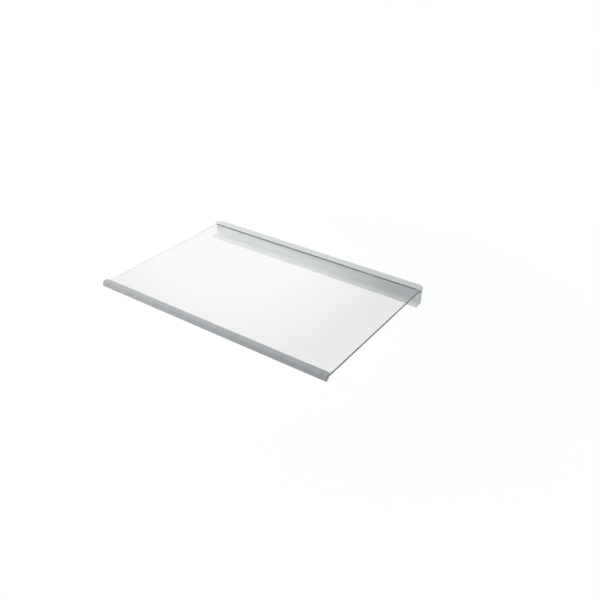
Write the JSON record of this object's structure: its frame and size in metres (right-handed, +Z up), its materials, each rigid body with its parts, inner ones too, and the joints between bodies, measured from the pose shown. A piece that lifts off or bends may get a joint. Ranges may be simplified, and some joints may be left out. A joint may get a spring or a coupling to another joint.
{
  "type": "refrigerator shelf",
  "caption": "Flat refrigerator shelf: clear toughened glass with a rounded grey front nosing and a rear trim that has a flange over a dark seal, a hanging apron and a forward foot.",
  "frame": {"origin": "middle of the glass panel's underside, in the plane that lies on the side ledges", "axes": "+X along the shelf to its right end, +Y to the rear of the refrigerator, +Z up"},
  "size_m": [0.524, 0.3549, 0.0359],
  "materials": {
    "glass": "clear toughened glass, flat faces polished, edges ground",
    "front_plastic": "silver-grey moulded plastic, satin",
    "rear_plastic": "light grey moulded plastic, satin",
    "seal": "dark grey rubber seal, matt"
  },
  "bodies": {
    "root": {"glass_panel": "glass", "front_trim": "front_plastic", "rear_trim": "rear_plastic", "rear_seal": "seal"}
  },
  "joints": []
}
